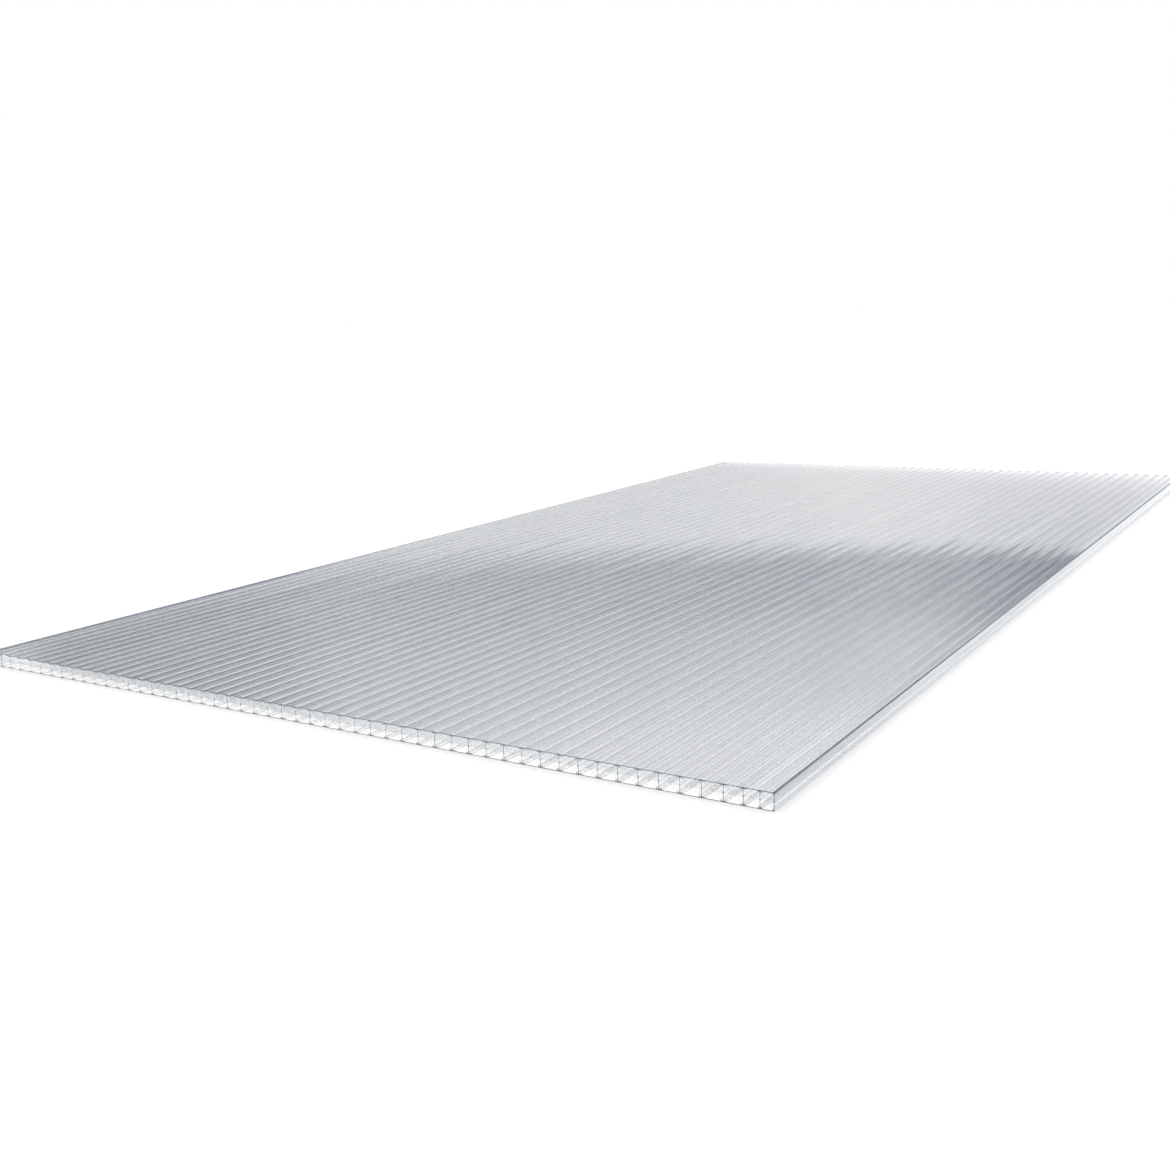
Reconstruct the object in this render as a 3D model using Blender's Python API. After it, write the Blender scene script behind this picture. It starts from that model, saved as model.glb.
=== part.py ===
"""Clear multiwall polycarbonate sheet, 1050 x 2000 x 16 mm, lying flat.

The sheet is one extrusion. Its profile is drawn across the width: two skins, upright ribs, a thin
middle wall and two crossed braces in every cell, which leaves six triangular flutes to a cell. The
profile is then drawn out along the length, and the flutes stay open at both sawn ends.

X is the width, Y the length along the flutes and Z the thickness. The origin is at the middle of
the underside.
"""

import math

import bmesh
import bpy
from mathutils import Vector
from mathutils.geometry import delaunay_2d_cdt

# The sheet as sold
SHEET_WIDTH = 1.050
SHEET_LENGTH = 2.000
SHEET_THICKNESS = 0.016

# Cells: the ribs stand at this pitch, and closer together in the last three cells at each long edge
RIB_PITCH = 0.020
EDGE_CELL_OUTER = 0.0122
EDGE_CELL_MIDDLE = 0.0147
EDGE_CELL_INNER = 0.01765

# Walls
SKIN_WALL = 0.0007
RIB_WALL = 0.00045
SIDE_WALL = 0.0009
MIDDLE_WALL = 0.00015
BRACE_WALL = 0.00015

# The four long outer corners
CORNER_RADIUS = 0.0012
CORNER_STEPS = 4

# How the profile is filled: all that lies inside its loops, with points this close taken as one
ALL_INSIDE = 1
SAME_POINT = 1e-8

# Clear polycarbonate
CLEAR_COLOUR = (0.92, 0.95, 0.96, 1.0)
CLEAR_ROUGHNESS = 0.05
POLYCARBONATE_IOR = 1.585


def empty_scene():
    """Removes every object that the file opened with."""
    for thing in list(bpy.data.objects):
        bpy.data.objects.remove(thing, do_unlink=True)


def clear_polycarbonate():
    material = bpy.data.materials.new("clear_polycarbonate")
    material.use_nodes = True
    shader = material.node_tree.nodes["Principled BSDF"]
    shader.inputs["Base Color"].default_value = CLEAR_COLOUR
    shader.inputs["Roughness"].default_value = CLEAR_ROUGHNESS
    shader.inputs["Metallic"].default_value = 0.0
    shader.inputs["IOR"].default_value = POLYCARBONATE_IOR
    shader.inputs["Transmission Weight"].default_value = 1.0
    return material


def wall_centres():
    """The X of every upright wall's centre line, from one long edge to the other."""
    first = -SHEET_WIDTH / 2 + SIDE_WALL / 2
    edge_cells = (EDGE_CELL_OUTER, EDGE_CELL_MIDDLE, EDGE_CELL_INNER)
    plain_width = 2 * abs(first) - 2 * sum(edge_cells)
    plain_cells = max(1, round(plain_width / RIB_PITCH))
    pitch = plain_width / plain_cells
    centres = [first]
    for width in (*edge_cells, *[pitch] * plain_cells, *reversed(edge_cells)):
        centres.append(centres[-1] + width)
    return centres


def moved_inwards(corners, distances):
    """The corners of an anticlockwise polygon after each side moves inwards by its own distance.

    Side number i runs from corner i to the next one.
    """
    sides = []
    for start, end, distance in zip(corners, corners[1:] + corners[:1], distances):
        along = (end - start).normalized()
        inwards = Vector((-along.y, along.x))
        sides.append((start + inwards * distance, along))
    moved = []
    for (point, along), (before, along_before) in zip(sides, sides[-1:] + sides[:-1]):
        share = along_before.cross(point - before) / along.cross(along_before)
        moved.append(point + along * share)
    return moved


def flutes_of_cell(left, right, left_wall, right_wall):
    """The six triangular flutes between two upright walls, given by their centres and thicknesses."""
    low = SKIN_WALL / 2
    high = SHEET_THICKNESS - SKIN_WALL / 2
    middle = SHEET_THICKNESS / 2
    crossing = Vector(((left + right) / 2, middle))
    low_left, low_right = Vector((left, low)), Vector((right, low))
    high_left, high_right = Vector((left, high)), Vector((right, high))
    middle_left, middle_right = Vector((left, middle)), Vector((right, middle))
    triangles = (
        ((low_left, low_right, crossing), (SKIN_WALL, BRACE_WALL, BRACE_WALL)),
        ((high_right, high_left, crossing), (SKIN_WALL, BRACE_WALL, BRACE_WALL)),
        ((low_left, crossing, middle_left), (BRACE_WALL, MIDDLE_WALL, left_wall)),
        ((middle_left, crossing, high_left), (MIDDLE_WALL, BRACE_WALL, left_wall)),
        ((low_right, middle_right, crossing), (right_wall, MIDDLE_WALL, BRACE_WALL)),
        ((middle_right, high_right, crossing), (right_wall, BRACE_WALL, MIDDLE_WALL)),
    )
    return [
        moved_inwards(list(corners), [wall / 2 for wall in walls])
        for corners, walls in triangles
    ]


def all_flutes():
    centres = wall_centres()
    walls = [SIDE_WALL, *[RIB_WALL] * (len(centres) - 2), SIDE_WALL]
    flutes = []
    for index in range(len(centres) - 1):
        flutes += flutes_of_cell(
            centres[index], centres[index + 1], walls[index], walls[index + 1]
        )
    return flutes


def outer_outline():
    """The outside of the profile: a rectangle with small round corners, anticlockwise."""
    inner_x = SHEET_WIDTH / 2 - CORNER_RADIUS
    low = CORNER_RADIUS
    high = SHEET_THICKNESS - CORNER_RADIUS
    corner_centres = ((inner_x, low), (inner_x, high), (-inner_x, high), (-inner_x, low))
    outline = []
    for quarter, (x, z) in enumerate(corner_centres):
        for step in range(CORNER_STEPS + 1):
            angle = math.radians(90) * (quarter - 1 + step / CORNER_STEPS)
            arm = Vector((math.cos(angle), math.sin(angle)))
            outline.append(Vector((x, z)) + arm * CORNER_RADIUS)
    return outline


def filled_profile():
    """The profile as flat triangles: its points, and the corners of each triangle between the flutes."""
    points, loops = [], []
    for loop in (outer_outline(), *all_flutes()):
        loops.append(list(range(len(points), len(points) + len(loop))))
        points += loop
    filled = delaunay_2d_cdt(points, [], loops, ALL_INSIDE, SAME_POINT)
    points, triangles, loops_round = filled[0], filled[2], filled[5]
    outline_only = [0]
    solid = [
        triangle
        for triangle, loops_here in zip(triangles, loops_round)
        if loops_here == outline_only
    ]
    return points, solid


def extruded_sheet(name):
    """Draws the filled profile out along Y, from the near sawn end to the far one."""
    points, triangles = filled_profile()
    shape = bmesh.new()
    corners = [shape.verts.new((point.x, -SHEET_LENGTH / 2, point.y)) for point in points]
    for triangle in triangles:
        shape.faces.new([corners[index] for index in triangle])
    drawn = bmesh.ops.extrude_face_region(shape, geom=shape.faces[:])
    far_corners = [part for part in drawn["geom"] if isinstance(part, bmesh.types.BMVert)]
    bmesh.ops.translate(shape, verts=far_corners, vec=(0.0, SHEET_LENGTH, 0.0))
    bmesh.ops.recalc_face_normals(shape, faces=shape.faces[:])
    mesh = bpy.data.meshes.new(name)
    shape.to_mesh(mesh)
    shape.free()
    return mesh


def main():
    empty_scene()
    sheet = bpy.data.objects.new("sheet", extruded_sheet("sheet"))
    sheet.data.materials.append(clear_polycarbonate())
    bpy.context.collection.objects.link(sheet)


main()
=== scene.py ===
"""Dresses the clear multiwall sheet and sets it in a plain pale studio.

Geometry Nodes draw the sheet's profile by the rule that the solid follows: two skins, upright ribs,
a middle wall and crossed braces. They add what the solid leaves out: the fillets where walls meet,
and the slight unevenness of the skins, which breaks up what the sheet mirrors.
"""

import math

import bpy
from bpy.props import FloatProperty, FloatVectorProperty, IntProperty, PointerProperty
from mathutils import Matrix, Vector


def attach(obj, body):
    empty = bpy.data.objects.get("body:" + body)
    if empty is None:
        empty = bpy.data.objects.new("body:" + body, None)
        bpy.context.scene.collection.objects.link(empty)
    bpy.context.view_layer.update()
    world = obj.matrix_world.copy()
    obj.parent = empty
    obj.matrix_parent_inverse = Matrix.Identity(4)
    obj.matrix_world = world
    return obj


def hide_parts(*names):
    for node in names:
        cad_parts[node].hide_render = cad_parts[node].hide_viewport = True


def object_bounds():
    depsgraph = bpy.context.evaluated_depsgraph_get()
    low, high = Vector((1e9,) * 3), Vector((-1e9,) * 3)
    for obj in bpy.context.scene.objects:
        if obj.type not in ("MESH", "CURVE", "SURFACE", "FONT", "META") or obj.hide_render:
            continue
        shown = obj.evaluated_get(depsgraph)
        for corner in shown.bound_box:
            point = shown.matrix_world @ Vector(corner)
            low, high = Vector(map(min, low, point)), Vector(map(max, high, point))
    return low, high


bl_info = {
    "name": "Clear Multiwall Sheet",
    "version": (1, 0, 0),
    "blender": (4, 5, 0),
    "location": "View3D > Sidebar > Sheet",
    "description": "Draws a clear multiwall sheet, its finishes and a plain studio",
    "category": "Add Mesh",
}

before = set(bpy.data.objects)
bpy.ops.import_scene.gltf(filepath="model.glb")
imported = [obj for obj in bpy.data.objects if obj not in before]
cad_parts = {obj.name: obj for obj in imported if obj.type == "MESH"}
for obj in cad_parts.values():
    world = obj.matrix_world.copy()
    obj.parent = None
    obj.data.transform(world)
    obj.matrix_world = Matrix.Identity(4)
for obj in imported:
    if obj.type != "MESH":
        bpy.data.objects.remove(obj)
CAD_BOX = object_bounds()
CAD_SIZE = [high - low for low, high in zip(*CAD_BOX)]
SENSOR_MM = 36.0
NEAREST_SEEN = 0.01
FLOOR_ROUGHNESS = 0.9
WHITE = (1.0, 1.0, 1.0, 1.0)

EDGE_CELLS_A_SIDE = 3
SKIN_FLUTES_A_CELL = 2
RIB_FLUTES_A_CELL = 4
CORNERS_A_FLUTE = 3

# The points of the outside are numbered in quarters of a round trip. Each quarter starts with a long
# corner, and the skin over or under the flutes takes the end of its quarter.
ROUND_TRIP = "round trip"
CORNER_END = 0.4
SKIN_START = 0.5

# Keys of the random numbers, set far apart so that a sag and a sink never share one.
SAG_KEYS = 500.0
UNDERSIDE_KEYS = 1000.0

# The least that a skin sags, as a share of Skin Sag. The most is one more.
LEAST_SAG_SHARE = 0.5

MERGE_DISTANCE = 2e-6
FLAT_ANGLE = math.radians(2)
FACET_ANGLE = math.radians(26)
FACET_WIDTH = 0.001

# A brace's normal points sideways by more than the least lean and less than the most, and an end's
# points endways by more than END_FACING.
LEAST_LEAN = 0.2
MOST_LEAN = 0.95
END_FACING = 0.9

# How far above a skin's inner side the outside begins, as a share of the skin's thickness.
SKIN_LEVEL = 0.25

# Where on the drawn marks' height the long edges' painted shade turns from its dark lines to its
# lighter ones.
LINE_DARK_BELOW = 0.35
LINE_BLEND = 0.3

# How much of the painted corner shade the low corners take. The top ones take all of it, so they are
# painted darker than the low ones.
LOW_CORNER_SHADE_SHARE = 0.5

# How much light the sawn ends let through.
SAWN_CLEARNESS = 0.35

# How far the painted shade of a cut wall reaches on the sawn ends: to each side of a rib's centre
# as a share of the rib, and round a knot, where a rib meets a skin, as shares of the skin's fillet.
CUT_RIB_REACH = 0.6
KNOT_DEPTH = 0.6
KNOT_REACH = 0.7

# How dark the painted shade on the cut walls is. The ones ON_TOP and IF_ODD are added to the
# upper half and to every other rib, so the upper half is painted darker than the lower.
CUT_SKIN_SHARE = 0.6
CUT_SKIN_SHARE_ON_TOP = 0.25
KNOT_SHARE = 0.5
KNOT_SHARE_ON_TOP = 0.2
CUT_RIB_SHARE = 0.3
CUT_RIB_SHARE_IF_ODD = 0.35
DARKEST_SHARE = 0.94


class Field:
    """A number in a node tree that can be reckoned with: a + b adds a Math node to the tree."""

    def __init__(self, tree, socket):
        self.tree = tree
        self.socket = socket

    def with_math(self, operation, *others):
        node = self.tree.nodes.new("ShaderNodeMath")
        node.operation = operation
        for socket, value in zip(node.inputs, (self, *others)):
            feed(self.tree, socket, value)
        return Field(self.tree, node.outputs[0])

    def __add__(self, other):
        return self.with_math("ADD", other)

    def __sub__(self, other):
        return self.with_math("SUBTRACT", other)

    def __mul__(self, other):
        return self.with_math("MULTIPLY", other)

    def __truediv__(self, other):
        return self.with_math("DIVIDE", other)

    def __mod__(self, other):
        return self.with_math("FLOORED_MODULO", other)

    def __gt__(self, other):
        return self.with_math("GREATER_THAN", other)

    def __lt__(self, other):
        return self.with_math("LESS_THAN", other)

    def __abs__(self):
        return self.with_math("ABSOLUTE")

    def floor(self):
        return self.with_math("FLOOR")

    def at_least(self, other):
        return self.with_math("MAXIMUM", other)

    def at_most(self, other):
        return self.with_math("MINIMUM", other)

    def opposite(self):
        """One less this number, which turns yes into no."""
        return self * -1.0 + 1.0


def feed(tree, socket, value):
    """Gives a socket its value: a link from another socket, or a plain number."""
    if isinstance(value, Field):
        tree.links.new(value.socket, socket)
    elif isinstance(value, bpy.types.NodeSocket):
        tree.links.new(value, socket)
    else:
        socket.default_value = value


def add_node(tree, kind, inputs=None, **settings):
    """A new node with its settings, and its input sockets fed by name."""
    node = tree.nodes.new(kind)
    for name, value in settings.items():
        setattr(node, name, value)
    for name, value in (inputs or {}).items():
        feed(tree, node.inputs[name], value)
    return node


def new_tree(name, kind, inputs, outputs):
    """A node tree with named sockets. Gives the tree, its inputs by name and its output node."""
    tree = bpy.data.node_groups.new(name, kind)
    for label, socket_kind in inputs.items():
        tree.interface.new_socket(label, in_out="INPUT", socket_type=socket_kind)
    for label, socket_kind in outputs.items():
        tree.interface.new_socket(label, in_out="OUTPUT", socket_type=socket_kind)
    given = tree.nodes.new("NodeGroupInput")
    result = tree.nodes.new("NodeGroupOutput")
    fields = {
        socket.name: Field(tree, socket) for socket in given.outputs if socket.name in inputs
    }
    return tree, fields, result


def spread_nodes(tree):
    """Lays a tree's nodes out in rows, so that it can be read in the node editor."""
    per_row, across, down = 12, 220, 260
    for index, node in enumerate(tree.nodes):
        node.location = (across * (index % per_row), -down * (index // per_row))


def pick(tree, index, choices):
    """The choice whose place in the list is index."""
    node = tree.nodes.new("GeometryNodeIndexSwitch")
    node.data_type = "FLOAT"
    while len(node.index_switch_items) < len(choices):
        node.index_switch_items.new()
    feed(tree, node.inputs["Index"], index)
    for place, choice in enumerate(choices):
        feed(tree, node.inputs[1 + place], choice)
    return Field(tree, node.outputs[0])


def index_field(tree):
    return Field(tree, tree.nodes.new("GeometryNodeInputIndex").outputs[0])


def as_vector(tree, x, y, z=0.0):
    return add_node(tree, "ShaderNodeCombineXYZ", {"X": x, "Y": y, "Z": z}).outputs[0]


def parts_of(tree, vector):
    """The three parts of a vector, as fields."""
    split = add_node(tree, "ShaderNodeSeparateXYZ", {"Vector": vector})
    return [Field(tree, split.outputs[axis]) for axis in "XYZ"]


def colour_mix(tree, share, first, second):
    """Two colours mixed. The node's sockets for colours are its inputs 6 and 7 and its output 2."""
    node = tree.nodes.new("ShaderNodeMix")
    node.data_type = "RGBA"
    for socket, value in ((0, share), (6, first), (7, second)):
        feed(tree, node.inputs[socket], value)
    return node.outputs[2]


def build_wall_centre_tree():
    """The place across the width of an upright wall's centre, from the wall's number.

    The walls are counted from the left long edge. Both long edges have three narrower cells.
    """
    tree, given, result = new_tree(
        "Wall Centre",
        "GeometryNodeTree",
        {
            "Wall": "NodeSocketFloat",
            "Cells": "NodeSocketFloat",
            "Half Width": "NodeSocketFloat",
            "Outer Cell": "NodeSocketFloat",
            "Middle Cell": "NodeSocketFloat",
            "Inner Cell": "NodeSocketFloat",
            "Pitch": "NodeSocketFloat",
        },
        {"Place": "NodeSocketFloat"},
    )
    from_right = given["Cells"] - given["Wall"]
    from_edge = given["Wall"].at_most(from_right)

    def share_past(cells):
        """How much of the cell after this many lies between the edge and the wall, from 0 to 1."""
        return (from_edge - float(cells)).at_least(0.0).at_most(1.0)

    distance = (
        share_past(0) * given["Outer Cell"]
        + share_past(1) * given["Middle Cell"]
        + share_past(2) * given["Inner Cell"]
        + (from_edge - float(EDGE_CELLS_A_SIDE)).at_least(0.0) * given["Pitch"]
    )
    side = (given["Wall"] > from_right) * 2.0 - 1.0
    feed(tree, result.inputs["Place"], side * (given["Half Width"] - distance))
    spread_nodes(tree)
    return tree


SHEET_SOCKETS = {
    "Width": "NodeSocketFloat",
    "Length": "NodeSocketFloat",
    "Thickness": "NodeSocketFloat",
    "Rib Pitch": "NodeSocketFloat",
    "Outer Edge Cell": "NodeSocketFloat",
    "Middle Edge Cell": "NodeSocketFloat",
    "Inner Edge Cell": "NodeSocketFloat",
    "Skin Wall": "NodeSocketFloat",
    "Rib Wall": "NodeSocketFloat",
    "Side Wall": "NodeSocketFloat",
    "Middle Wall": "NodeSocketFloat",
    "Brace Wall": "NodeSocketFloat",
    "Skin Fillet": "NodeSocketFloat",
    "Rib Fillet": "NodeSocketFloat",
    "Crossing Fillet": "NodeSocketFloat",
    "Fillet Steps": "NodeSocketInt",
    "Corner Radius": "NodeSocketFloat",
    "Corner Steps": "NodeSocketInt",
    "Skin Sag": "NodeSocketFloat",
    "Rib Sink": "NodeSocketFloat",
    "Skin Steps": "NodeSocketInt",
    "Seed": "NodeSocketInt",
    "Clear Finish": "NodeSocketMaterial",
    "Thin Wall Finish": "NodeSocketMaterial",
    "Long Edge Finish With Painted Shade": "NodeSocketMaterial",
    "Sawn Finish With Painted Shade": "NodeSocketMaterial",
}


class SheetTree:
    """Draws the profile flat in X and Y, with Y up through the thickness, and extrudes it along Z."""

    def __init__(self):
        self.tree, self.given, self.result = new_tree(
            "Multiwall Sheet",
            "GeometryNodeTree",
            SHEET_SOCKETS,
            {"Geometry": "NodeSocketGeometry"},
        )
        self.wall_centre_tree = build_wall_centre_tree()
        given = self.given
        edge_cells = given["Outer Edge Cell"] + given["Middle Edge Cell"] + given["Inner Edge Cell"]
        clear_width = given["Width"] - given["Side Wall"]
        plain_width = clear_width - edge_cells * 2.0
        plain_cells = (plain_width / given["Rib Pitch"]).with_math("ROUND").at_least(1.0)
        self.half_width = clear_width / 2.0
        self.pitch = plain_width / plain_cells
        self.cells = plain_cells + 2.0 * EDGE_CELLS_A_SIDE
        self.middle = given["Thickness"] / 2.0
        self.under_skin = self.middle - given["Skin Wall"]

    def wall_centre(self, wall):
        node = self.tree.nodes.new("GeometryNodeGroup")
        node.node_tree = self.wall_centre_tree
        given = self.given
        values = {
            "Wall": wall,
            "Cells": self.cells,
            "Half Width": self.half_width,
            "Outer Cell": given["Outer Edge Cell"],
            "Middle Cell": given["Middle Edge Cell"],
            "Inner Cell": given["Inner Edge Cell"],
            "Pitch": self.pitch,
        }
        for name, value in values.items():
            feed(self.tree, node.inputs[name], value)
        return Field(self.tree, node.outputs[0])

    def cell_sizes(self, cell):
        """A cell's centre and width, its braces' slope and half of a brace measured upright."""
        given = self.given
        left = self.wall_centre(cell)
        right = self.wall_centre(cell + 1.0)
        slope = (given["Thickness"] - given["Skin Wall"]) / (right - left)
        return {
            "centre": (left + right) / 2.0,
            "width": right - left,
            "slope": slope,
            "brace": given["Brace Wall"] / 2.0 * (slope * slope + 1.0).with_math("SQRT"),
        }

    def skin_flute_corner(self):
        """The place of each corner of the flutes beside the skins, from the corner's own number.

        A flute is first placed above the middle, and is then mirrored to its own side.
        """
        corner = index_field(self.tree) % float(CORNERS_A_FLUTE)
        flute = (index_field(self.tree) / float(CORNERS_A_FLUTE)).floor()
        sizes = self.cell_sizes((flute / float(SKIN_FLUTES_A_CELL)).floor())
        reach = (self.under_skin - sizes["brace"]) / sizes["slope"]
        across = pick(self.tree, corner, (0.0, reach, reach * -1.0))
        up = pick(self.tree, corner, (sizes["brace"], self.under_skin, self.under_skin))
        side = flute % 2.0 * -2.0 + 1.0
        return as_vector(self.tree, sizes["centre"] + across, self.middle + up * side)

    def rib_flute_corner(self):
        """The place of each corner of the flutes beside the ribs, from the corner's own number.

        A flute is first placed to the right of its cell's centre and above the middle wall, and is
        then mirrored to its own side. The last two of a cell's four flutes are on its left. Whole
        numbers are told apart half way between them.
        """
        given = self.given
        corner = index_field(self.tree) % float(CORNERS_A_FLUTE)
        number = (index_field(self.tree) / float(CORNERS_A_FLUTE)).floor()
        flute = number % float(RIB_FLUTES_A_CELL)
        cell = (number / float(RIB_FLUTES_A_CELL)).floor()
        sizes = self.cell_sizes(cell)
        is_left = flute > 1.5
        by_side_wall = is_left * (cell < 0.5) + is_left.opposite() * (cell > self.cells - 1.5)
        upright = given["Rib Wall"] + (given["Side Wall"] - given["Rib Wall"]) * by_side_wall
        over_middle = given["Middle Wall"] / 2.0
        near = (over_middle + sizes["brace"]) / sizes["slope"]
        far = (sizes["width"] - upright) / 2.0
        top = far * sizes["slope"] - sizes["brace"]
        across = pick(self.tree, corner, (near, far, far)) * (is_left * -2.0 + 1.0)
        up = pick(self.tree, corner, (over_middle, over_middle, top))
        side = flute % 2.0 * -2.0 + 1.0
        return as_vector(self.tree, sizes["centre"] + across, self.middle + up * side)

    def flutes(self, flutes_a_cell, corner_place, fillet):
        """One closed curve for each flute of a kind, with its corners filleted.

        The first corner of a flute is where the braces cross, and has the crossing's own radius.
        """
        tree, given = self.tree, self.given
        corners = add_node(
            tree,
            "GeometryNodePoints",
            {"Count": self.cells * float(flutes_a_cell * CORNERS_A_FLUTE), "Position": corner_place},
        )
        flute = (index_field(tree) / float(CORNERS_A_FLUTE)).floor()
        drawn = add_node(
            tree,
            "GeometryNodePointsToCurves",
            {"Points": corners.outputs[0], "Curve Group ID": flute},
        )
        closed = add_node(
            tree, "GeometryNodeSetSplineCyclic", {"Geometry": drawn.outputs[0], "Cyclic": True}
        )
        past_crossing = (index_field(tree) % float(CORNERS_A_FLUTE)).at_most(1.0)
        crossing = given["Crossing Fillet"]
        return add_node(
            tree,
            "GeometryNodeFilletCurve",
            {
                "Curve": closed.outputs[0],
                "Count": given["Fillet Steps"],
                "Radius": crossing + (fillet - crossing) * past_crossing,
                "Limit Radius": True,
            },
            mode="POLY",
        ).outputs[0]

    def random_share(self, key):
        """A fixed random number from 0 to 1 for each key."""
        node = add_node(
            self.tree,
            "FunctionNodeRandomValue",
            {"ID": key, "Seed": self.given["Seed"]},
            data_type="FLOAT",
        )
        return Field(self.tree, node.outputs[1])

    def skin_points(self):
        """Points along both skins, closer together near the ribs.

        Each skin sags a little between its ribs, and some ribs sink a little deeper than others. The
        outermost cell on each side has no points of its own, so its skins are plain.
        """
        tree, given = self.tree, self.given
        steps = given["Skin Steps"] * 1.0
        per_skin = (self.cells - 2.0) * steps + 1.0
        index = index_field(tree)
        is_underside = (index / per_skin).floor()
        place = index % per_skin
        cell = (place / steps).floor() + 1.0
        share = ((place % steps) / steps * math.pi).with_math("COSINE") * -0.5 + 0.5
        left = self.wall_centre(cell)
        right = self.wall_centre(cell + 1.0)
        key = cell + is_underside * UNDERSIDE_KEYS
        swell = (share * math.pi).with_math("SINE")
        sag = given["Skin Sag"] * (self.random_share(key + SAG_KEYS) + LEAST_SAG_SHARE) * swell * swell
        left_sink = self.random_share(key)
        right_sink = self.random_share(key + 1.0)
        sink = given["Rib Sink"] * (left_sink + (right_sink - left_sink) * share)
        side = is_underside * -2.0 + 1.0
        up = self.middle + (self.middle - sag - sink) * side
        points = add_node(
            tree,
            "GeometryNodePoints",
            {"Count": per_skin * 2.0, "Position": as_vector(tree, left + (right - left) * share, up)},
        ).outputs[0]
        from_left = place / per_skin
        along = from_left.opposite() + (from_left - from_left.opposite()) * is_underside
        trip = is_underside * 2.0 + SKIN_START + along * (1.0 - SKIN_START)
        return self.numbered(points, trip)

    def corner_points(self):
        """Points round the four long outer corners."""
        tree, given = self.tree, self.given
        steps = given["Corner Steps"] * 1.0
        index = index_field(tree)
        quarter = (index / (steps + 1.0)).floor()
        share = index % (steps + 1.0) / steps
        turn = (quarter + share) * (math.pi / 2)
        towards = (quarter + 0.5) * (math.pi / 2)
        side = towards.with_math("COSINE").with_math("SIGN")
        face = towards.with_math("SINE").with_math("SIGN")
        radius = given["Corner Radius"]
        across = side * (given["Width"] / 2.0 - radius) + turn.with_math("COSINE") * radius
        up = self.middle + face * (self.middle - radius) + turn.with_math("SINE") * radius
        points = add_node(
            tree,
            "GeometryNodePoints",
            {"Count": (steps + 1.0) * 4.0, "Position": as_vector(tree, across, up)},
        ).outputs[0]
        return self.numbered(points, quarter + share * CORNER_END)

    def numbered(self, points, turn):
        """Keeps each point's place in the round trip, in quarters from the right long edge."""
        return add_node(
            self.tree,
            "GeometryNodeStoreNamedAttribute",
            {"Geometry": points, "Name": ROUND_TRIP, "Value": turn},
            data_type="FLOAT",
            domain="POINT",
        ).outputs[0]

    def outline(self):
        """The outside of the profile as one closed curve, its points in the order of the trip."""
        tree = self.tree
        points = add_node(tree, "GeometryNodeJoinGeometry")
        for part in (self.skin_points(), self.corner_points()):
            feed(tree, points.inputs[0], part)
        turn = add_node(
            tree, "GeometryNodeInputNamedAttribute", {"Name": ROUND_TRIP}, data_type="FLOAT"
        )
        drawn = add_node(
            tree,
            "GeometryNodePointsToCurves",
            {"Points": points.outputs[0], "Weight": turn.outputs[0]},
        )
        return add_node(
            tree, "GeometryNodeSetSplineCyclic", {"Geometry": drawn.outputs[0], "Cyclic": True}
        ).outputs[0]

    def extruded(self, profile):
        """The filled profile drawn out to the full length and closed at both ends."""
        tree, given = self.tree, self.given
        far_end = add_node(
            tree,
            "GeometryNodeTransform",
            {
                "Geometry": profile,
                "Translation": as_vector(tree, 0.0, 0.0, given["Length"] / -2.0),
            },
        ).outputs[0]
        drawn = add_node(
            tree,
            "GeometryNodeExtrudeMesh",
            {
                "Mesh": far_end,
                "Offset": as_vector(tree, 0.0, 0.0, 1.0),
                "Offset Scale": given["Length"],
                "Individual": False,
            },
        )
        closing = add_node(tree, "GeometryNodeFlipFaces", {"Mesh": far_end})
        both = add_node(tree, "GeometryNodeJoinGeometry")
        for part in (drawn.outputs["Mesh"], closing.outputs[0]):
            feed(tree, both.inputs[0], part)
        return add_node(
            tree,
            "GeometryNodeMergeByDistance",
            {"Geometry": both.outputs[0], "Distance": MERGE_DISTANCE},
        ).outputs[0]

    def strip_width(self):
        """The width of a long strip. On an edge it is the mean of the two strips beside it."""
        area = self.tree.nodes.new("GeometryNodeInputMeshFaceArea")
        return Field(self.tree, area.outputs[0]) / self.given["Length"]

    def shaded(self, solid):
        """Smooth across the uneven skins and round the fillets, and sharp elsewhere."""
        tree = self.tree
        smooth = add_node(
            tree, "GeometryNodeSetShadeSmooth", {"Geometry": solid, "Shade Smooth": True}
        )
        node = tree.nodes.new("GeometryNodeInputMeshEdgeAngle")
        angle = Field(tree, node.outputs["Unsigned Angle"])
        is_facet = (angle < FACET_ANGLE) * (self.strip_width() < FACET_WIDTH)
        return add_node(
            tree,
            "GeometryNodeSetShadeSmooth",
            {
                "Geometry": smooth.outputs[0],
                "Shade Smooth": (angle < FLAT_ANGLE).at_least(is_facet),
            },
            domain="EDGE",
        ).outputs[0]

    def with_finish(self, solid, name, selection=True):
        """The solid with one of its finishes on the selected faces, or on all of them."""
        inputs = {"Geometry": solid, "Selection": selection, "Material": self.given[name]}
        return add_node(self.tree, "GeometryNodeSetMaterial", inputs).outputs[0]

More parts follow.
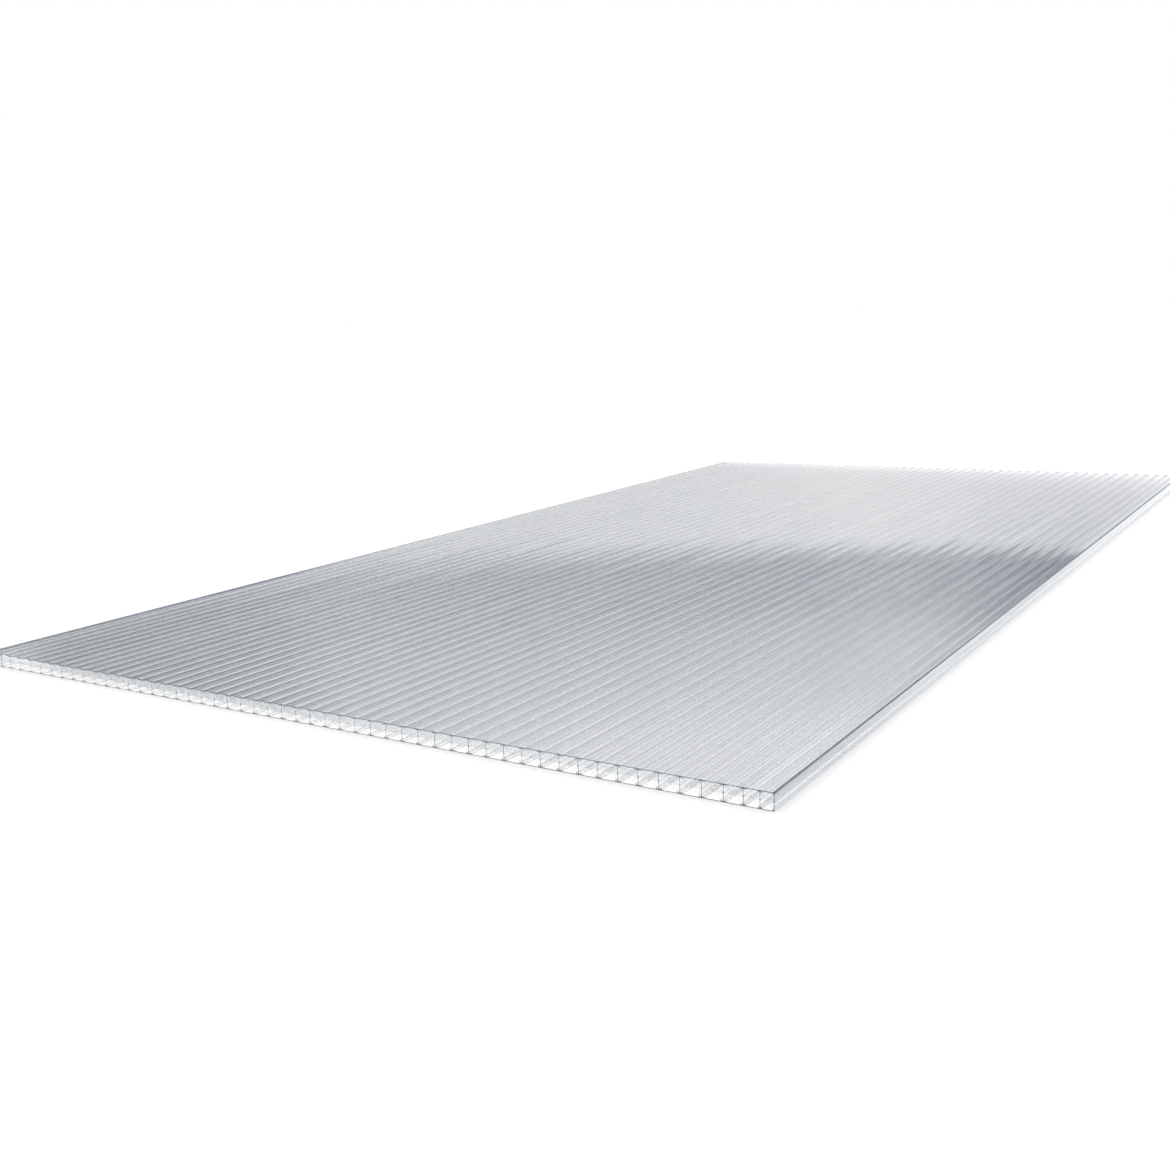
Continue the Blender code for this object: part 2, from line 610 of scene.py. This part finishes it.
    def finished(self, solid):
        """Clear, with the thin walls, the long edges and the sawn ends in their own finishes. The long
        edges and the cut walls on the sawn ends carry painted shade.
        """
        tree, given = self.tree, self.given
        normal = tree.nodes.new("GeometryNodeInputNormal")
        sideways, endways, _ = parts_of(tree, normal.outputs["True Normal"])
        position = tree.nodes.new("GeometryNodeInputPosition")
        x, _, z = parts_of(tree, position.outputs[0])
        off_middle = abs(z - self.middle)
        is_outer = abs(x) > given["Width"] / 2.0 - given["Side Wall"] / 2.0
        inside = (off_middle < self.under_skin) * is_outer.opposite()
        is_brace = (abs(sideways) > LEAST_LEAN) * (abs(sideways) < MOST_LEAN)
        is_wide = self.strip_width() > given["Skin Fillet"]
        is_thin = is_brace.at_least(off_middle < given["Middle Wall"]) * inside * is_wide
        clear = self.with_finish(solid, "Clear Finish")
        thin = self.with_finish(clear, "Thin Wall Finish", is_thin)
        is_by_edge = abs(x) > given["Width"] / 2.0 - given["Corner Radius"]
        is_over_skin = off_middle > self.under_skin + given["Skin Wall"] * SKIN_LEVEL
        is_long_edge = is_outer.at_least(is_by_edge * is_over_skin)
        edged = self.with_finish(thin, "Long Edge Finish With Painted Shade", is_long_edge)
        return self.with_finish(edged, "Sawn Finish With Painted Shade", abs(endways) > END_FACING)

    def build(self):
        tree, given = self.tree, self.given
        profile = add_node(tree, "GeometryNodeJoinGeometry")
        for part in (
            self.outline(),
            self.flutes(SKIN_FLUTES_A_CELL, self.skin_flute_corner(), given["Skin Fillet"]),
            self.flutes(RIB_FLUTES_A_CELL, self.rib_flute_corner(), given["Rib Fillet"]),
        ):
            feed(tree, profile.inputs[0], part)
        filled = add_node(
            tree, "GeometryNodeFillCurve", {"Curve": profile.outputs[0]}, mode="TRIANGLES"
        )
        laid_flat = add_node(
            tree,
            "GeometryNodeTransform",
            {
                "Geometry": self.shaded(self.extruded(filled.outputs[0])),
                "Rotation": (math.pi / 2, 0.0, 0.0),
            },
        )
        real = add_node(
            tree, "GeometryNodeRealizeInstances", {"Geometry": laid_flat.outputs[0]}
        )
        feed(tree, self.result.inputs["Geometry"], self.finished(real.outputs[0]))
        spread_nodes(tree)
        return tree


def set_modifier_input(modifier, name, value):
    """Sets a modifier's input by its socket's identifier, found from the socket's name."""
    for item in modifier.node_group.interface.items_tree:
        if item.name == name and item.in_out == "INPUT":
            modifier[item.identifier] = value
            return
    raise KeyError(f"the tree has no input named {name}")


def plain_mesh_object(name, tree, values):
    """Runs a geometry tree on a new object and leaves its result as a plain mesh."""
    piece = bpy.data.objects.new(name, bpy.data.meshes.new(f"{name}_start"))
    bpy.context.scene.collection.objects.link(piece)
    modifier = piece.modifiers.new(tree.name, "NODES")
    modifier.node_group = tree
    for label, value in values.items():
        set_modifier_input(modifier, label, value)
    bpy.context.view_layer.update()
    evaluated = piece.evaluated_get(bpy.context.evaluated_depsgraph_get())
    mesh = bpy.data.meshes.new_from_object(evaluated)
    if not mesh.polygons:
        raise RuntimeError(f"the tree drew nothing for {name}")
    mesh.name = name
    piece.modifiers.remove(modifier)
    piece.data = mesh
    return piece


def build_marks_tree():
    """Fine drawn-out marks, as a roughness and a height. Each mark is about as long as Mark Size."""
    tree, given, result = new_tree(
        "Drawn Marks",
        "ShaderNodeTree",
        {
            "Mark Size": "NodeSocketVector",
            "Low Roughness": "NodeSocketFloat",
            "High Roughness": "NodeSocketFloat",
        },
        {"Roughness": "NodeSocketFloat", "Height": "NodeSocketFloat"},
    )
    place = tree.nodes.new("ShaderNodeTexCoord").outputs["Object"]
    counted = tree.nodes.new("ShaderNodeVectorMath")
    counted.operation = "DIVIDE"
    feed(tree, counted.inputs[0], place)
    feed(tree, counted.inputs[1], given["Mark Size"])
    marks = add_node(
        tree, "ShaderNodeTexNoise", {"Vector": counted.outputs[0], "Scale": 1.0, "Detail": 1.0}
    )
    height = Field(tree, marks.outputs["Fac"])
    low, high = given["Low Roughness"], given["High Roughness"]
    feed(tree, result.inputs["Roughness"], low + (high - low) * height)
    feed(tree, result.inputs["Height"], height)
    spread_nodes(tree)
    return tree


def plastic(name, finish, colour, clearness):
    """A material with plain polycarbonate's own values. Gives it, its tree and its shader."""
    material = bpy.data.materials.new(name)
    material.use_nodes = True
    shader = material.node_tree.nodes["Principled BSDF"]
    shader.inputs["Base Color"].default_value = (*colour, 1.0)
    shader.inputs["IOR"].default_value = finish.refraction
    shader.inputs["Transmission Weight"].default_value = clearness
    shader.distribution = "GGX"
    return material, material.node_tree, shader


def add_marks(tree, shader, marks_tree, size, roughness, height):
    """Puts drawn marks into a material's roughness and, if they have a height, into its bump."""
    marks = tree.nodes.new("ShaderNodeGroup")
    marks.node_tree = marks_tree
    marks.inputs["Mark Size"].default_value = size
    marks.inputs["Low Roughness"].default_value = roughness[0]
    marks.inputs["High Roughness"].default_value = roughness[1]
    feed(tree, shader.inputs["Roughness"], marks.outputs["Roughness"])
    if height:
        bump = add_node(
            tree,
            "ShaderNodeBump",
            {"Strength": 1.0, "Distance": height, "Height": marks.outputs["Height"]},
        )
        feed(tree, shader.inputs["Normal"], bump.outputs["Normal"])
    return marks


def line_size(finish):
    """The size of a line that the die has drawn out along the flutes."""
    return (finish.line_width, finish.line_length, finish.line_width)


def clear_finish(finish, marks_tree):
    """Skins and ribs: glossy, with faint lines drawn out along the flutes."""
    material, tree, shader = plastic("clear_polycarbonate", finish, finish.clear_tint, 1.0)
    roughness = (finish.skin_roughness_low, finish.skin_roughness_high)
    add_marks(tree, shader, marks_tree, line_size(finish), roughness, 0.0)
    spread_nodes(tree)
    return material


def thin_wall_finish(finish, marks_tree):
    """Braces and middle wall: so thin that they blur what is seen through them."""
    material, tree, shader = plastic("thin_wall_polycarbonate", finish, finish.thin_tint, 1.0)
    roughness = (finish.thin_roughness_low, finish.thin_roughness_high)
    add_marks(tree, shader, marks_tree, line_size(finish), roughness, 0.0)
    spread_nodes(tree)
    return material


def long_edge_finish_with_painted_shade(finish, sizes, marks_tree):
    """The two closed edges: greyed with painted shade, with darker and lighter painted lines drawn
    out along the sheet.

    Light that meets a rounded corner stays inside the wall. The corners are painted the darkest
    shade for it, the top ones more than the low ones.
    """
    material, tree, shader = plastic("long_edge_polycarbonate_with_painted_shade", finish, finish.edge_painted_shade_light, 1.0)
    roughness = (finish.skin_roughness_low, finish.skin_roughness_high)
    marks = add_marks(tree, shader, marks_tree, line_size(finish), roughness, finish.line_height)
    above_dark = Field(tree, marks.outputs["Height"]) - LINE_DARK_BELOW
    share = (above_dark / LINE_BLEND).at_least(0.0).at_most(1.0)
    # Both greys of the long edges are painted shade, the dark one on the dark lines.
    dark, light = (*finish.edge_painted_shade_dark, 1.0), (*finish.edge_painted_shade_light, 1.0)
    lines = colour_mix(tree, share, dark, light)
    height = parts_of(tree, tree.nodes.new("ShaderNodeTexCoord").outputs["Object"])[2]
    # Painted shade on the rounded long corners: all of it on the top ones, half of it on the low ones.
    is_top_corner = height > sizes.thickness - sizes.corner_radius
    is_low_corner = height < sizes.corner_radius
    corner = (*finish.corner_painted_shade, 1.0)
    corner_shade_share = is_top_corner + is_low_corner * LOW_CORNER_SHADE_SHARE
    colour = colour_mix(tree, corner_shade_share, lines, corner)
    feed(tree, shader.inputs["Base Color"], colour)
    spread_nodes(tree)
    return material


def sawn_finish_with_painted_shade(finish, sizes, marks_tree):
    """The two cut ends: pale and matt, with painted shade on the skins and ribs where their walls
    are cut.

    A cut wall carries light from far inside the sheet, and this is painted as a dark colour. Both
    skins are painted dark at the cut, most of all where a rib joins them and on the upper half,
    and the ribs are painted dark and less dark by turns.
    """
    material, tree, shader = plastic(
        "sawn_polycarbonate_with_painted_shade", finish, finish.sawn_colour, SAWN_CLEARNESS
    )
    roughness = (finish.sawn_roughness_low, finish.sawn_roughness_high)
    add_marks(tree, shader, marks_tree, finish.saw_mark_size, roughness, finish.saw_mark_height)
    place = tree.nodes.new("ShaderNodeTexCoord").outputs["Object"]
    x, _, z = parts_of(tree, place)
    rib = (x / sizes.rib_pitch).with_math("ROUND")
    off_centre = abs(x)
    half_width = (sizes.width - sizes.side_wall) / 2
    second_wall = half_width - sizes.outer_edge_cell
    third_wall = second_wall - sizes.middle_edge_cell
    off_rib = abs(x - rib * sizes.rib_pitch)
    for wall in (half_width, second_wall, third_wall):
        off_rib = off_rib.at_most(abs(off_centre - wall))
    off_middle = abs(z - sizes.thickness / 2)
    depth = off_middle * -1.0 + sizes.thickness / 2
    is_top = z > sizes.thickness / 2
    is_skin = depth < sizes.skin_wall
    is_rib = off_rib < sizes.rib_wall * CUT_RIB_REACH
    knot_depth = sizes.skin_wall + sizes.skin_fillet * KNOT_DEPTH
    is_knot = (off_rib < sizes.skin_fillet * KNOT_REACH) * (depth < knot_depth)
    is_hub = (off_rib < sizes.rib_fillet) * (off_middle < sizes.rib_fillet)
    is_odd = abs(rib) % 2.0
    # Painted shade: the cut skins, knots and ribs darkened, more on the upper half and on every other
    # rib.
    painted_shade_share = (
        is_skin * (is_top * CUT_SKIN_SHARE_ON_TOP + CUT_SKIN_SHARE)
        + is_knot.at_least(is_hub) * (is_top * KNOT_SHARE_ON_TOP + KNOT_SHARE)
        + is_rib * (is_odd * CUT_RIB_SHARE_IF_ODD + CUT_RIB_SHARE)
    ).at_most(DARKEST_SHARE)
    pale, dark = (*finish.sawn_colour, 1.0), (*finish.cut_wall_painted_shade, 1.0)
    feed(tree, shader.inputs["Base Color"], colour_mix(tree, painted_shade_share, pale, dark))
    spread_nodes(tree)
    return material


def length_property(name, description, default):
    return FloatProperty(
        name=name, description=description, default=default, min=0.0, unit="LENGTH", precision=5
    )


def share_property(name, description, default):
    return FloatProperty(
        name=name, description=description, default=default, min=0.0, max=1.0, precision=3
    )


def colour_property(name, description, default):
    return FloatVectorProperty(
        name=name, description=description, default=default, subtype="COLOR", min=0.0, max=1.0
    )


def count_property(name, description, default, least):
    return IntProperty(name=name, description=description, default=default, min=least)


def angle_property(name, description, degrees):
    return FloatProperty(
        name=name, description=description, default=math.radians(degrees), subtype="ANGLE"
    )


class SheetSizes(bpy.types.PropertyGroup):
    """The sheet's sizes. The overall ones come from the frame."""

    width: length_property("Width", "Across the flutes", CAD_SIZE[0])
    length: length_property("Length", "Along the flutes", CAD_SIZE[1])
    thickness: length_property("Thickness", "Over both skins", CAD_SIZE[2])
    rib_pitch: length_property("Rib Pitch", "From rib to rib in the plain cells", 0.020)
    outer_edge_cell: length_property("Outer Edge Cell", "The cell at each long edge", 0.0122)
    middle_edge_cell: length_property("Middle Edge Cell", "The second cell in", 0.0147)
    inner_edge_cell: length_property("Inner Edge Cell", "The third cell in", 0.01765)
    skin_wall: length_property("Skin Wall", "Thickness of each skin", 0.0007)
    rib_wall: length_property("Rib Wall", "Thickness of each rib", 0.0006)
    side_wall: length_property("Side Wall", "Thickness of each closed long edge", 0.0009)
    middle_wall: length_property("Middle Wall", "Thickness of the middle wall", 0.00015)
    brace_wall: length_property("Brace Wall", "Thickness of each crossed brace", 0.00015)
    skin_fillet: length_property("Skin Fillet", "Radius between a skin and a brace", 0.0011)
    rib_fillet: length_property("Rib Fillet", "Radius between a rib and a brace", 0.0007)
    crossing_fillet: length_property("Crossing Fillet", "Radius where braces cross", 0.00015)
    corner_radius: length_property("Corner Radius", "Radius of the long outer corners", 0.0012)
    skin_sag: length_property("Skin Sag", "How far a skin sags between ribs", 0.00006)
    rib_sink: length_property("Rib Sink", "How far a rib sinks, at most", 0.00007)
    fillet_steps: count_property("Fillet Steps", "Facets round a flute's corner", 8, 1)
    corner_steps: count_property("Corner Steps", "Facets round a long outer corner", 6, 1)
    skin_steps: count_property("Skin Steps", "Strips across a cell on each skin", 24, 2)
    seed: count_property("Seed", "Sets which ribs sink and which skins sag more", 7, 0)


class SheetFinishAndPaintedShade(bpy.types.PropertyGroup):
    """The colours and the gloss of the sheet's walls and of its cut ends, with the painted shade
    on its long edges, its corners and its cut walls.
    """

    refraction: FloatProperty(
        name="Refraction", description="Polycarbonate's refractive index", default=1.585, min=1.0
    )
    clear_tint: colour_property(
        "Clear Tint", "What a skin or a rib lets through at each surface", (0.996, 0.999, 1.0)
    )
    thin_tint: colour_property(
        "Thin Wall Tint", "What a thin wall lets through at each surface", (0.995, 0.998, 1.0)
    )
    # Painted shade: the greys that the long edges take in place of clear plastic, lighter and darker
    # along their lines.
    edge_painted_shade_light: colour_property(
        "Long Edge Painted Shade, Light", "What a long edge lets through on its lighter lines", (0.60, 0.63, 0.65)
    )
    edge_painted_shade_dark: colour_property(
        "Long Edge Painted Shade, Dark", "What it lets through on its darker lines", (0.34, 0.36, 0.38)
    )
    # Painted shade: the near black of the rounded long corners.
    corner_painted_shade: colour_property(
        "Corner Painted Shade", "What the rounded long corners let through", (0.05, 0.06, 0.08)
    )
    sawn_colour: colour_property("Sawn Colour", "Of the cut ends", (0.90, 0.93, 0.95))
    # Painted shade on the skins and ribs where they are cut.
    cut_wall_painted_shade: colour_property(
        "Cut Wall Painted Shade", "Of the skins and ribs where they are cut", (0.02, 0.025, 0.06)
    )
    line_width: length_property("Line Width", "Of a drawn line on the walls", 0.003)
    line_length: length_property("Line Length", "Of a drawn line on the walls", 0.6)
    line_height: length_property("Line Height", "Of a drawn line on a long edge", 0.000001)
    skin_roughness_low: share_property("Skin Roughness, Low", "Between the drawn lines", 0.0)
    skin_roughness_high: share_property("Skin Roughness, High", "On the drawn lines", 0.02)
    thin_roughness_low: share_property("Thin Wall Roughness, Low", "Where it is least", 0.02)
    thin_roughness_high: share_property("Thin Wall Roughness, High", "Where it is most", 0.06)
    saw_mark_size: FloatVectorProperty(
        name="Saw Mark Size",
        description="Of a saw mark on the cut ends",
        default=(0.0005, 0.01, 0.006),
        subtype="XYZ",
        unit="LENGTH",
        precision=5,
    )
    saw_mark_height: length_property("Saw Mark Height", "Of a saw mark", 0.00003)
    sawn_roughness_low: share_property("Sawn Roughness, Low", "Between the saw marks", 0.3)
    sawn_roughness_high: share_property("Sawn Roughness, High", "On the saw marks", 0.55)


class StudioLook(bpy.types.PropertyGroup):
    """The camera, the floor and the light."""

    lens: FloatProperty(
        name="Lens", description="Focal length on a 36 mm sensor", default=39.4388, unit="CAMERA"
    )
    camera_place: FloatVectorProperty(
        name="Camera Place",
        description="Where the camera stands",
        default=(0.9283, -1.8745, 0.3897),
        subtype="TRANSLATION",
        unit="LENGTH",
    )
    camera_turn: angle_property("Camera Turn", "To the left of +Y", 33.2521)
    camera_tilt: angle_property("Camera Tilt", "Below level", 11.8804)
    camera_roll: angle_property("Camera Roll", "Clockwise", 2.3921)
    floor_gap: length_property("Floor Gap", "Air between the floor and the sheet", 0.0004)
    floor_side: length_property("Floor Side", "Side of the square floor", 40.0)
    floor_colour: colour_property("Floor Colour", "A plain pale floor", (0.9, 0.9, 0.9))
    floor_glow: FloatProperty(
        name="Floor Glow", description="Lifts the floor to white in plain view", default=0.45
    )
    floor_glow_through: FloatProperty(
        name="Floor Glow Through",
        description="Lifts the floor where the sheet mirrors it or lets it be seen",
        default=1.0,
    )
    bounces: count_property("Bounces", "How often light may turn inside the sheet", 44, 1)


class SHEET_OT_add_sheet(bpy.types.Operator):
    """Draws the sheet and gives its walls, long edges and cut ends their finishes, with painted shade
    on the long edges and cut walls
    """

    bl_idname = "sheet.add_sheet"
    bl_label = "Add Sheet"

    def execute(self, context):
        sizes = context.scene.sheet_sizes
        finish = context.scene.sheet_finish
        marks_tree = build_marks_tree()
        values = {
            "Width": sizes.width,
            "Length": sizes.length,
            "Thickness": sizes.thickness,
            "Rib Pitch": sizes.rib_pitch,
            "Outer Edge Cell": sizes.outer_edge_cell,
            "Middle Edge Cell": sizes.middle_edge_cell,
            "Inner Edge Cell": sizes.inner_edge_cell,
            "Skin Wall": sizes.skin_wall,
            "Rib Wall": sizes.rib_wall,
            "Side Wall": sizes.side_wall,
            "Middle Wall": sizes.middle_wall,
            "Brace Wall": sizes.brace_wall,
            "Skin Fillet": sizes.skin_fillet,
            "Rib Fillet": sizes.rib_fillet,
            "Crossing Fillet": sizes.crossing_fillet,
            "Fillet Steps": sizes.fillet_steps,
            "Corner Radius": sizes.corner_radius,
            "Corner Steps": sizes.corner_steps,
            "Skin Sag": sizes.skin_sag,
            "Rib Sink": sizes.rib_sink,
            "Skin Steps": sizes.skin_steps,
            "Seed": sizes.seed,
            "Clear Finish": clear_finish(finish, marks_tree),
            "Thin Wall Finish": thin_wall_finish(finish, marks_tree),
            "Long Edge Finish With Painted Shade": long_edge_finish_with_painted_shade(finish, sizes, marks_tree),
            "Sawn Finish With Painted Shade": sawn_finish_with_painted_shade(finish, sizes, marks_tree),
        }
        sheet = plain_mesh_object("clear_sheet", SheetTree().build(), values)
        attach(sheet, "root")
        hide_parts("sheet")
        return {"FINISHED"}


def add_camera(scene, look):
    camera = bpy.data.objects.new("camera", bpy.data.cameras.new("camera"))
    camera.data.lens = look.lens
    camera.data.sensor_width = SENSOR_MM
    camera.data.clip_start = NEAREST_SEEN
    turned = (
        Matrix.Rotation(look.camera_turn, 4, "Z")
        @ Matrix.Rotation(math.pi / 2 - look.camera_tilt, 4, "X")
        @ Matrix.Rotation(-look.camera_roll, 4, "Z")
    )
    camera.matrix_world = Matrix.Translation(look.camera_place) @ turned
    scene.collection.objects.link(camera)
    scene.camera = camera


def floor_finish(look):
    """Matt and pale. It is white in plain view, through the sheet and in the sheet's gloss."""
    material = bpy.data.materials.new("pale_floor")
    material.use_nodes = True
    tree = material.node_tree
    shader = tree.nodes["Principled BSDF"]
    shader.inputs["Base Color"].default_value = (*look.floor_colour, 1.0)
    shader.inputs["Roughness"].default_value = FLOOR_ROUGHNESS
    shader.inputs["Specular IOR Level"].default_value = 0.0
    shader.inputs["Emission Color"].default_value = WHITE
    rays = tree.nodes.new("ShaderNodeLightPath").outputs
    in_view = Field(tree, rays["Is Camera Ray"])
    by_sheet = Field(tree, rays["Is Transmission Ray"]).at_least(Field(tree, rays["Is Glossy Ray"]))
    glow = in_view * look.floor_glow + by_sheet * look.floor_glow_through
    feed(tree, shader.inputs["Emission Strength"], glow)
    spread_nodes(tree)
    return material


def add_floor(look):
    half = look.floor_side / 2
    mesh = bpy.data.meshes.new("floor")
    corners = [(-half, -half), (half, -half), (half, half), (-half, half)]
    mesh.from_pydata([(x, y, -look.floor_gap) for x, y in corners], [], [(0, 1, 2, 3)])
    mesh.materials.append(floor_finish(look))
    floor = bpy.data.objects.new("floor", mesh)
    bpy.context.scene.collection.objects.link(floor)


# How bright the room is, by the sine of the height above level. The backdrop ends at 10.6 degrees,
# where a darker wall begins. A soft light hangs on the right, and a ring of them overhead.
ROOM_ON_THE_RIGHT = (
    (0.000, (0.88, 0.89, 0.91)),
    (0.181, (0.88, 0.89, 0.91)),
    (0.187, (0.09, 0.13, 0.19)),
    (0.225, (0.13, 0.17, 0.23)),
    (0.245, (0.38, 0.41, 0.45)),
    (0.290, (0.54, 0.56, 0.59)),
    (0.320, (0.90, 0.91, 0.92)),
    (0.390, (1.00, 1.00, 1.00)),
    (0.420, (0.66, 0.67, 0.69)),
    (0.540, (0.58, 0.59, 0.61)),
    (0.720, (0.60, 0.61, 0.63)),
    (0.750, (0.12, 0.13, 0.15)),
    (0.840, (0.12, 0.13, 0.15)),
    (0.860, (2.40, 2.40, 2.40)),
    (0.905, (2.40, 2.40, 2.40)),
    (0.930, (0.42, 0.43, 0.45)),
    (1.000, (0.42, 0.43, 0.45)),
)
ROOM_ON_THE_LEFT = (
    (0.000, (0.50, 0.51, 0.53)),
    (0.181, (0.50, 0.51, 0.53)),
    (0.187, (0.05, 0.08, 0.12)),
    (0.290, (0.06, 0.08, 0.12)),
    (0.390, (0.08, 0.10, 0.14)),
    (0.420, (0.50, 0.52, 0.55)),
    (0.540, (0.54, 0.55, 0.57)),
    (0.720, (0.58, 0.59, 0.61)),
    (0.750, (0.12, 0.13, 0.15)),
    (0.840, (0.12, 0.13, 0.15)),
    (0.860, (2.40, 2.40, 2.40)),
    (0.905, (2.40, 2.40, 2.40)),
    (0.930, (0.42, 0.43, 0.45)),
    (1.000, (0.42, 0.43, 0.45)),
)
BRIGHTEST = 2.4

# Where the room turns from its right side to its left side, by the leftward part of the direction.
LEFT_BEGINS = 0.17
LEFT_BLEND = 0.65


def room_ramp(tree, height, stops):
    """The room's colour at a height, as a share of its brightest part."""
    node = tree.nodes.new("ShaderNodeValToRGB")
    elements = node.color_ramp.elements
    while len(elements) < len(stops):
        elements.new(1.0)
    for element, (place, colour) in zip(elements, stops):
        element.position = place
        element.color = (*(part / BRIGHTEST for part in colour), 1.0)
    feed(tree, node.inputs["Fac"], height)
    return node.outputs["Color"]


def light_room(scene):
    """A soft studio all round. It is plain white in view, as a backdrop."""
    world = bpy.data.worlds.new("studio")
    world.use_nodes = True
    scene.world = world
    tree = world.node_tree
    background = tree.nodes["Background"]
    direction = tree.nodes.new("ShaderNodeTexCoord").outputs["Generated"]
    x, _, height = parts_of(tree, direction)
    to_the_left = ((x * -1.0 - LEFT_BEGINS) / LEFT_BLEND).at_least(0.0).at_most(1.0)
    right = room_ramp(tree, height, ROOM_ON_THE_RIGHT)
    left = room_ramp(tree, height, ROOM_ON_THE_LEFT)
    room = colour_mix(tree, to_the_left, right, left)
    in_view = Field(tree, tree.nodes.new("ShaderNodeLightPath").outputs["Is Camera Ray"])
    colour = colour_mix(tree, in_view, room, WHITE)
    feed(tree, background.inputs["Color"], colour)
    feed(tree, background.inputs["Strength"], in_view * (1.0 - BRIGHTEST) + BRIGHTEST)
    spread_nodes(tree)


class SHEET_OT_add_studio(bpy.types.Operator):
    """Adds the pale floor, the soft light and the camera at the photograph's viewpoint"""

    bl_idname = "sheet.add_studio"
    bl_label = "Add Studio"

    def execute(self, context):
        scene = context.scene
        look = scene.studio_look
        add_floor(look)
        light_room(scene)
        add_camera(scene, look)
        scene.view_settings.view_transform = "Standard"
        scene.cycles.max_bounces = look.bounces
        scene.cycles.transmission_bounces = look.bounces
        scene.cycles.glossy_bounces = look.bounces
        return {"FINISHED"}


class SHEET_PT_panel(bpy.types.Panel):
    """Lists the sheet's sizes and finishes and the two steps that make the scene"""

    bl_label = "Clear Multiwall Sheet"
    bl_idname = "SHEET_PT_panel"
    bl_space_type = "VIEW_3D"
    bl_region_type = "UI"
    bl_category = "Sheet"

    def draw(self, context):
        scene = context.scene
        for group in (scene.sheet_sizes, scene.sheet_finish):
            for name in group.__annotations__:
                self.layout.prop(group, name)
        self.layout.operator(SHEET_OT_add_sheet.bl_idname)
        for name in scene.studio_look.__annotations__:
            self.layout.prop(scene.studio_look, name)
        self.layout.operator(SHEET_OT_add_studio.bl_idname)


CLASSES = (
    SheetSizes,
    SheetFinishAndPaintedShade,
    StudioLook,
    SHEET_OT_add_sheet,
    SHEET_OT_add_studio,
    SHEET_PT_panel,
)


def register():
    for kind in CLASSES:
        bpy.utils.register_class(kind)
    bpy.types.Scene.sheet_sizes = PointerProperty(type=SheetSizes)
    bpy.types.Scene.sheet_finish = PointerProperty(type=SheetFinishAndPaintedShade)
    bpy.types.Scene.studio_look = PointerProperty(type=StudioLook)


def unregister():
    del bpy.types.Scene.sheet_sizes
    del bpy.types.Scene.sheet_finish
    del bpy.types.Scene.studio_look
    for kind in reversed(CLASSES):
        bpy.utils.unregister_class(kind)


def main():
    register()
    bpy.ops.sheet.add_sheet()
    bpy.ops.sheet.add_studio()


if __name__ == "__main__":
    main()
